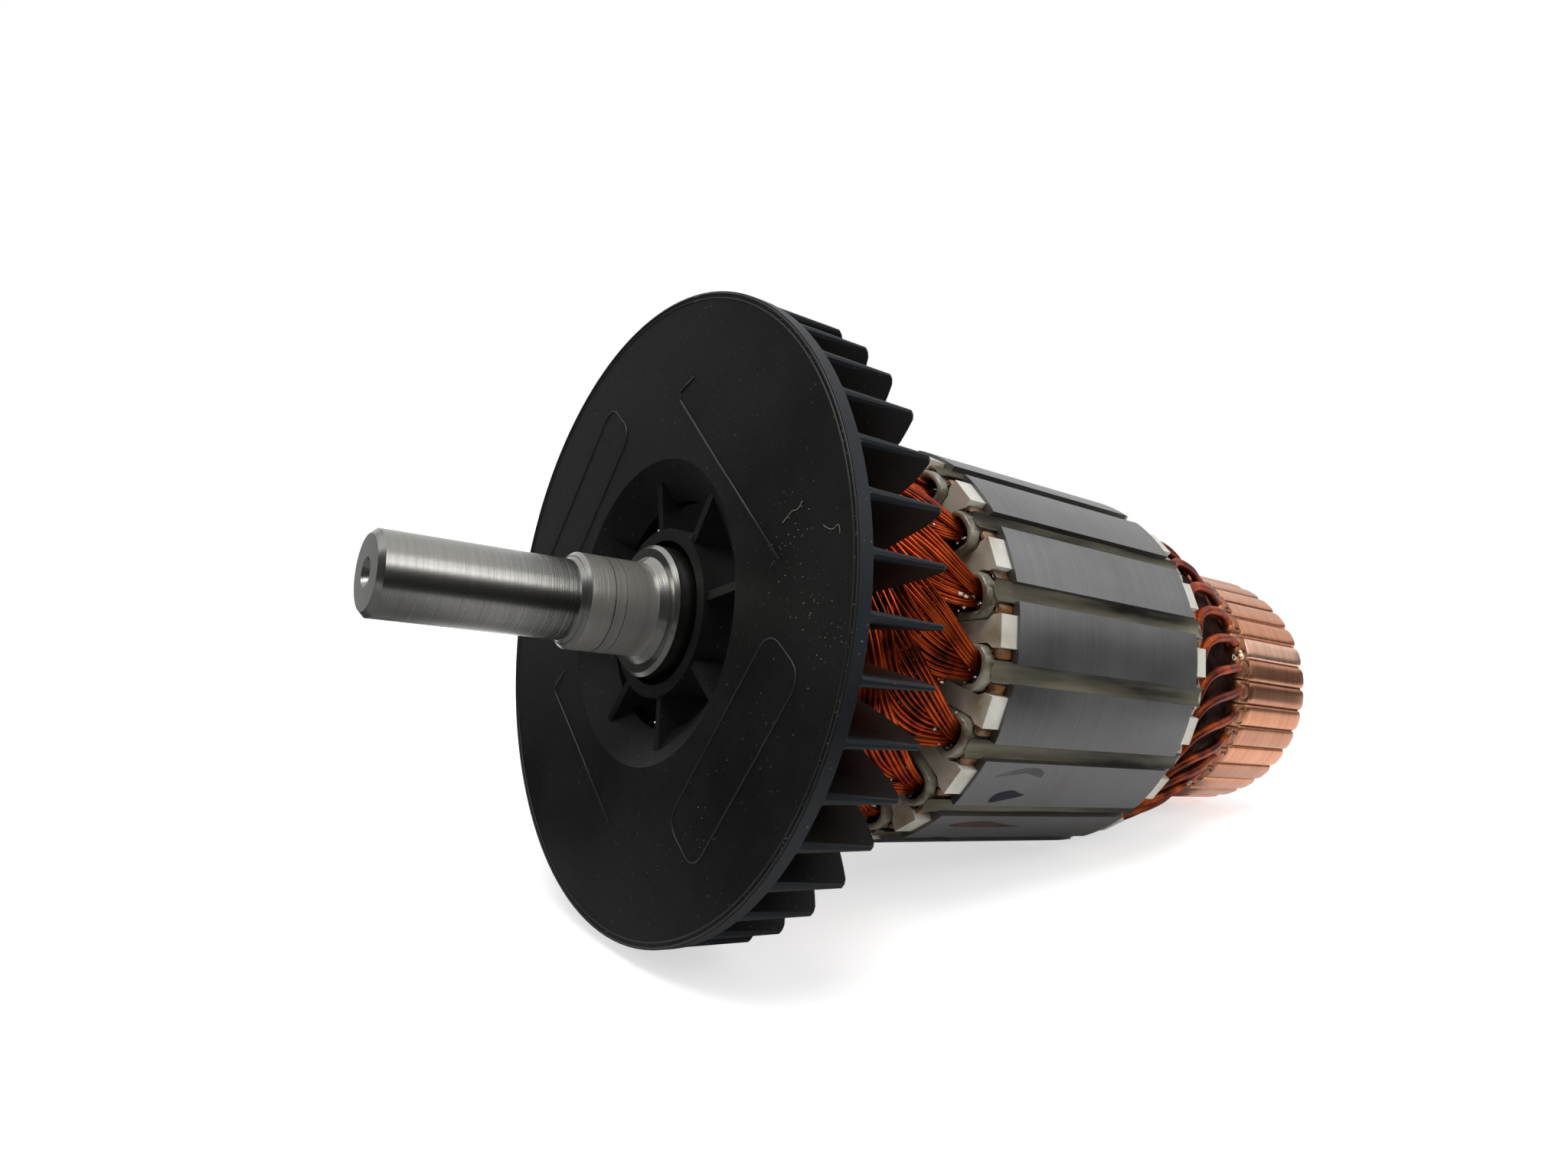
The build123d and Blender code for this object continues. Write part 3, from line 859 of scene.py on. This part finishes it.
def stain(name, outline, radius, made):
    """Patch on a round surface from (s, angle) points round its edge."""
    edge = rounded(np.array(outline, float), 2)
    centre = edge.mean(axis=0)
    rows = [centre + (edge - centre) * share for share in (1.0, 0.7, 0.4, 0.08)]
    lift = (0.0, 0.03, 0.03, 0.03)
    points = [on_shaft(radius + rise, row[:, 1], row[:, 0]) for row, rise in zip(rows, lift)]
    faces = grid_faces(len(rows), len(edge), closed_columns=True)
    faces.append(tuple(range((len(rows) - 1) * len(edge), len(rows) * len(edge))))
    patch = new_piece(name, np.concatenate(points), faces, made)


CORE_SURFACE = 29.21
CUFF_SURFACE = 28.4
BLOT = [
    (43.3, 130.0),
    (43.5, 127.0),
    (45.2, 125.6),
    (46.9, 125.2),
    (48.1, 126.4),
    (49.8, 126.9),
    (48.2, 128.2),
    (46.0, 129.4),
    (44.3, 130.6),
]
SMEAR = [
    (41.0, 120.6),
    (44.5, 117.9),
    (48.0, 117.0),
    (50.2, 118.0),
    (50.3, 120.4),
    (49.8, 120.3),
    (49.5, 118.5),
    (47.7, 117.6),
    (44.7, 118.5),
    (41.2, 121.1),
]
INK_SPOT = [
    (42.3, 153.6),
    (44.0, 152.0),
    (46.6, 153.4),
    (49.0, 156.8),
    (50.6, 160.4),
    (47.4, 157.6),
    (44.2, 155.2),
]
RUN = [
    (41.0, 142.4),
    (43.5, 140.6),
    (47.0, 139.7),
    (50.0, 140.4),
    (53.8, 142.4),
    (58.0, 143.6),
    (50.0, 143.8),
    (43.0, 143.6),
]
VARNISH_SPOT = [(69.0, 104.2), (70.2, 103.8), (71.2, 104.4), (70.9, 105.4), (69.6, 105.5)]
stain("ink_blot", BLOT, CORE_SURFACE, ink)
stain("ink_smear", SMEAR, CORE_SURFACE, ink_faint)
stain("ink_spot", INK_SPOT, CORE_SURFACE, ink)
stain("varnish_run", RUN, CORE_SURFACE, burnt)
stain("varnish_spot", VARNISH_SPOT, CUFF_SURFACE, burnt)


SEAT_RADIUS = 6.0


def seat_line(name, s, width):
    """Fine line round the bearing seat."""
    around = np.linspace(0, 360, 72, endpoint=False)
    profile = [(-width / 2, -0.01), (0.0, 0.012), (width / 2, -0.01)]
    rows = [on_shaft(SEAT_RADIUS + rise, around, s + step) for step, rise in profile]
    faces = grid_faces(len(rows), len(around), closed_columns=True)
    piece = new_piece(name, np.concatenate(rows), faces, ring_mark)


seat_line("seat_line_1", -7.7, 0.16)
seat_line("seat_line_2", -6.2, 0.1)


def face_line(points, angle, radius, closed=False):
    """Raised line on the fan's face through (outward, sideways) points at an angle."""
    path = np.array([in_slot(outward, sideways, 0.0, angle) for outward, sideways in points])
    if closed:
        path = np.vstack([path, path[:2]])
    return tube(path, radius * MM, 6)


def frame_points(middle, half_out, half_side, corner):
    """Rounded rectangle as (outward, sideways) points."""
    points = []
    for quarter in range(4):
        centre_out = middle + (half_out - corner) * (1 if quarter in (0, 3) else -1)
        centre_side = (half_side - corner) * (1 if quarter in (0, 1) else -1)
        for step in range(5):
            turn = math.radians(90 * quarter + 22.5 * step)
            outward = centre_out + corner * math.cos(turn)
            points.append((outward, centre_side + corner * math.sin(turn)))
    return points


PANEL = frame_points(middle=27.0, half_out=4.0, half_side=14.2, corner=2.4)
PANEL_ANGLES = (121.0, -59.0)
# Open lines: the angle they face and their (outward, sideways) points.
OPEN_LINES = [
    (36.5, [(26.0, -15.6), (23.0, -16.9), (22.2, -16.0), (22.2, 0.0), (22.4, 17.0)]),
    (-148.0, [(20.4, 12.6), (23.6, 13.2), (24.3, 12.4), (24.3, 0.0), (24.3, -13.6)]),
]
# Lines round the fan's rim: radius and thickness.
RIM_LINES = [(40.35, 0.12), (40.95, 0.14)]
lines = [face_line(PANEL, angle, 0.13, closed=True) for angle in PANEL_ANGLES]
lines += [face_line(points, angle, 0.15) for angle, points in OPEN_LINES]
around = np.linspace(0, 360, 181)
for radius, thickness in RIM_LINES:
    lines.append(tube(on_shaft(radius, around, 0.02), thickness * MM, 6))
new_piece("fan_lines", *joined(lines), moulded_line)

# Clusters of dust: number of specks, radius and angle of the middle, and spread.
DUST_CLUSTERS = [
    (46, 36.0, 88.0, 2.2),
    (26, 29.6, 73.0, 2.4),
    (22, 31.0, 66.0, 2.6),
    (10, 30.3, 140.0, 1.4),
    (8, 38.0, 141.0, 0.8),
    (12, 30.0, 115.0, 5.0),
]
STRAY_SPECKS = 150
RIM_SPECKS = 110
RIM_SPECK_RADII = (40.55, 40.7, 41.0)
FACE_INNER, FACE_OUTER = 17.2, 41.1
SPECK_FACES = [(0, 4, 1), (1, 4, 2), (2, 4, 3), (3, 4, 0)]
# Fibres on the face: radius and angle.
FIBRES = [
    [(32.9, 64.3), (32.0, 65.2), (31.0, 64.9), (30.1, 65.4), (29.2, 66.0)],
    [(35.8, 70.8), (36.5, 71.7), (37.3, 72.2), (38.0, 71.8), (38.3, 72.3), (38.3, 73.3)],
]
shaker = random.Random(900)
specks = []
for count, radius, angle, spread in DUST_CLUSTERS:
    for _ in range(count):
        x = radius + shaker.gauss(0, spread)
        y = shaker.gauss(0, spread)
        specks.append((x, y, angle, shaker.uniform(0.03, 0.085)))
for _ in range(STRAY_SPECKS):
    radius = math.sqrt(shaker.uniform(17.0**2, 39.5**2))
    angle = shaker.uniform(0, 360)
    specks.append((radius, 0.0, angle, shaker.uniform(0.02, 0.06)))
for _ in range(RIM_SPECKS):
    radius = shaker.choice(RIM_SPECK_RADII) + shaker.uniform(-0.1, 0.1)
    angle = shaker.uniform(10, 170)
    specks.append((radius, 0.0, angle, shaker.uniform(0.03, 0.07)))
dust_parts = []
for x, y, angle, size in specks:
    if FACE_INNER < math.hypot(x, y) < FACE_OUTER:
        outward = np.array([x + size, x, x - size, x])
        sideways = np.array([y, y + size * 1.3, y, y - size])
        base = in_slot(outward, sideways, np.zeros(4), angle)
        tip = in_slot(x, y, -size * 0.8, angle)[None, :]
        dust_parts.append((np.concatenate([base, tip]), SPECK_FACES))
for course in FIBRES:
    fibre = smooth_rows(course, 5)
    path = np.array([on_shaft(radius, angle, -0.06) for radius, angle in fibre])
    dust_parts.append(tube(path, 0.045 * MM, 5))
new_piece("fan_dust", *joined(dust_parts), dust)


# Finishes of the CAD pieces

place_inverse = to_world.inverted()


def paint(piece, default, choose=None):
    """Gives a piece its materials; choose picks one by a face's r, angle, s and normal."""
    piece.data.materials.clear()
    used = [default]
    piece.data.materials.append(default)
    if choose is None:
        return
    for face in piece.data.polygons:
        spot = place_inverse @ face.center
        facing = place_inverse.to_3x3() @ face.normal
        radius = math.hypot(spot.x, spot.y) / MM
        angle = math.degrees(math.atan2(spot.y, spot.x))
        picked = choose(radius, angle, spot.z / MM, facing)
        if picked not in used:
            used.append(picked)
            piece.data.materials.append(picked)
        face.material_index = used.index(picked)


def soften(piece, width):
    """Small rounding of a CAD piece's sharp edges."""
    bevel = piece.modifiers.new("edge_rounding", "BEVEL")
    bevel.width = width * MM
    bevel.segments = 2
    bevel.limit_method = "ANGLE"
    bevel.angle_limit = math.radians(32)
    bevel.use_clamp_overlap = True


PLATE_RIM = 28.0
FAN_RIM = 40.6
TINTED_BAR = 6
# Burnt varnish lies in the groove round each pad and behind the riser.
PAD_GROOVE = (0.98, 1.2)
GROOVE_START = PAD_S - 0.4
BURNT_BACK = 105.5


# The outward-facing rim faces take the lighter colour: painted light.
def plate_material(radius, angle, s, facing):
    return plate_rim_painted_light if radius > PLATE_RIM and abs(facing.z) < 0.5 else plate_face


# Painted sheen: outward-facing faces beyond the fan's rim take the lighter bluish plastic.
def painted_sheen_material(radius, angle, s, facing):
    return painted_sheen_plastic if radius > FAN_RIM and abs(facing.z) < 0.6 else plastic


seat_s = (place_inverse @ Vector(mounts["bearing_seat"]["pos_m"])).z / MM
seat_length = mounts["bearing_seat"]["dims"]["length_mm"]


def shaft_material(radius, angle, s, facing):
    on_seat = abs(s - seat_s) < seat_length / 2 and radius > SEAT_RADIUS - 0.5
    return seat_steel if on_seat and abs(facing.z) < 0.3 else steel


def bar_material(radius, angle, s, facing):
    number = round((angle - FIRST_BAR) / BAR_PITCH)
    if s < RISER_BACK:
        sideways = radius * math.radians(angle - FIRST_BAR - BAR_PITCH * number)
        ring = math.hypot(s - PAD_S, sideways) / PAD_RADIUS
        in_groove = PAD_GROOVE[0] < ring < PAD_GROOVE[1] and s > GROOVE_START
        return burnt if in_groove else riser_copper
    if s < TRACK_FRONT:
        return burnt if s < BURNT_BACK else riser_copper
    return bar_tinted if number % BARS == TINTED_BAR else bar_copper


nodes = frame["nodes"]
for node, default, choose in (
    ("shaft", steel, shaft_material),
    ("shaft_sleeve", sleeve_tube, None),
    ("fan", plastic, painted_sheen_material),
    ("lamination_stack", laminations, None),
    ("front_end_insulator", plate_face, plate_material),
    ("rear_end_insulator", plate_face, plate_material),
    ("commutator_hub", dark_moulding, None),
    ("mica_plates", mica, None),
):
    paint(nodes[node], default, choose)
paint(commutator, bar_copper, bar_material)
paint(fan_vanes, plastic, painted_sheen_material)
for node, width in (("front_end_insulator", 0.18), ("rear_end_insulator", 0.18), ("fan", 0.12)):
    soften(nodes[node], width)


# Light, floor and camera


def area_light(name, place, aim, size, power):
    light = bpy.data.lights.new(name, "AREA")
    light.shape = "RECTANGLE"
    light.size, light.size_y = size
    light.energy = power
    lamp = bpy.data.objects.new(name, light)
    bpy.context.scene.collection.objects.link(lamp)
    lamp.location = place
    lamp.rotation_euler = (Vector(aim) - Vector(place)).to_track_quat("-Z", "Y").to_euler()


area_light("softbox_side", (0.6, 0.25, 0.55), (0.0, 0.0, 0.03), (0.4, 0.4), 0.9)
area_light("strip_side", (0.61, 0.1, 0.42), (0.0, -0.04, 0.045), (1.1, 0.03), 0.45)
area_light("softbox_front", (-0.35, -0.75, 0.55), (0.0, -0.05, 0.03), (0.4, 0.4), 0.5)
sky = bpy.data.lights.new("overhead", "SUN")
sky.energy = 1.7
sky.angle = math.radians(35)
overhead = bpy.data.objects.new("overhead", sky)
bpy.context.scene.collection.objects.link(overhead)
overhead.rotation_euler = Vector((-0.25, 0.2, -1.0)).to_track_quat("-Z", "Y").to_euler()


def seen_directly(tree):
    """One for camera, glossy and transmission rays, nought for the light that fills in."""
    path = tree.nodes.new("ShaderNodeLightPath")
    outputs = ["Is Camera Ray", "Is Glossy Ray", "Is Transmission Ray"]
    total = path.outputs[outputs[0]]
    for name in outputs[1:]:
        larger = tree.nodes.new("ShaderNodeMath")
        larger.operation = "MAXIMUM"
        tree.links.new(total, larger.inputs[0])
        tree.links.new(path.outputs[name], larger.inputs[1])
        total = larger.outputs[0]
    return total


def level(x_low, x_high, y_low, y_high, z):
    """Corners of a level rectangle."""
    return [(x_low, y_low, z), (x_high, y_low, z), (x_high, y_high, z), (x_low, y_high, z)]


def upright(start, end, low, high):
    """Corners of a standing rectangle over the line from start to end."""
    return [(*start, low), (*end, low), (*end, high), (*start, high)]


FLOOR_HALF = 6.0
FLOOR_GLOW = 0.62
FILL_LIGHT = 0.3
floor_mesh = bpy.data.meshes.new("floor")
floor_corners = level(-FLOOR_HALF, FLOOR_HALF, -FLOOR_HALF, FLOOR_HALF, 0)
floor_mesh.from_pydata(floor_corners, [], [(0, 1, 2, 3)])
floor = bpy.data.objects.new("floor", floor_mesh)
bpy.context.scene.collection.objects.link(floor)
floor_white = bpy.data.materials.new("floor_white")
floor_white.use_nodes = True
tree = floor_white.node_tree
tree.nodes.clear()
matte = tree.nodes.new("ShaderNodeBsdfDiffuse")
matte.inputs["Color"].default_value = (0.9, 0.9, 0.9, 1)
glow = tree.nodes.new("ShaderNodeEmission")
glow.inputs["Color"].default_value = (1, 1, 1, 1)
glow.inputs["Strength"].default_value = FLOOR_GLOW
both = tree.nodes.new("ShaderNodeAddShader")
choose = tree.nodes.new("ShaderNodeMixShader")
surface = tree.nodes.new("ShaderNodeOutputMaterial")
tree.links.new(matte.outputs[0], both.inputs[0])
tree.links.new(glow.outputs[0], both.inputs[1])
tree.links.new(seen_directly(tree), choose.inputs[0])
tree.links.new(matte.outputs[0], choose.inputs[1])
tree.links.new(both.outputs[0], choose.inputs[2])
tree.links.new(choose.outputs[0], surface.inputs["Surface"])
floor_mesh.materials.append(floor_white)

world = bpy.data.worlds.new("studio")
bpy.context.scene.world = world
world.use_nodes = True
tree = world.node_tree
tree.nodes.clear()
fill = tree.nodes.new("ShaderNodeBackground")
fill.inputs["Color"].default_value = (1.0, 0.99, 0.97, 1)
fill.inputs["Strength"].default_value = FILL_LIGHT
white = tree.nodes.new("ShaderNodeBackground")
white.inputs["Color"].default_value = (1, 1, 1, 1)
white.inputs["Strength"].default_value = 1.0
choose = tree.nodes.new("ShaderNodeMixShader")
surround = tree.nodes.new("ShaderNodeOutputWorld")
tree.links.new(seen_directly(tree), choose.inputs[0])
tree.links.new(fill.outputs[0], choose.inputs[1])
tree.links.new(white.outputs[0], choose.inputs[2])
tree.links.new(choose.outputs[0], surround.inputs["Surface"])


def dark_card(name, corners, tone=0.03):
    """Studio flag: bright metal and gloss mirror it, and nothing else sees it."""
    mesh = bpy.data.meshes.new(name)
    mesh.from_pydata(corners, [], [(0, 1, 2, 3)])
    mesh.materials.append(material(name, grey(tone), 0.9, specular=0.0))
    card = bpy.data.objects.new(name, mesh)
    bpy.context.scene.collection.objects.link(card)
    card.visible_camera = False
    card.visible_diffuse = False
    card.visible_shadow = False
    card.visible_transmission = False


dark_card("card_camera", upright((-0.1, -0.55), (0.75, -0.25), 0.0, 0.55), 0.1)
dark_card("card_floor", level(0.065, 0.62, -0.35, 1.0, 0.002))
dark_card("card_right", upright((0.62, 0.3), (0.62, 1.0), 0.002, 0.17))
dark_card("card_side", upright((0.62, -0.35), (0.62, 0.3), 0.002, 0.29), 0.07)
dark_card("card_back", upright((0.62, 1.0), (-0.05, 1.0), 0.002, 0.2))
dark_card("card_left", upright((-0.57, -0.22), (-0.3, -0.65), 0.0, 0.5))
dark_card("card_left_floor", level(-0.57, -0.05, -0.65, -0.06, 0.001), 0.1)
dark_card("card_near", level(-0.05, 0.065, -0.35, -0.07, 0.001), 0.3)
dark_card("card_under", level(-0.05, 0.065, -0.07, 0.06, 0.001), 0.88)

bpy.context.scene.view_settings.view_transform = "Standard"

# Camera fitted to the photograph, in the shaft's frame.
CAMERA_PLACE = Vector((2.0882, 118.4411, -65.6565)) * MM
CAMERA_FORWARD = Vector((0.025310, -0.807115, 0.589852))
CAMERA_UP = Vector((0.988814, -0.066544, -0.133484))
lens = bpy.data.cameras.new("camera")
lens.lens = 24.06
lens.sensor_width = 36.0
lens.clip_start = 0.005
camera = bpy.data.objects.new("camera", lens)
bpy.context.scene.collection.objects.link(camera)
turn = to_world.to_3x3()
forward, up = turn @ CAMERA_FORWARD, turn @ CAMERA_UP
right = forward.cross(up)
pose = Matrix((right, up, -forward)).transposed().to_4x4()
pose.translation = to_world @ CAMERA_PLACE
camera.matrix_world = pose
bpy.context.scene.camera = camera
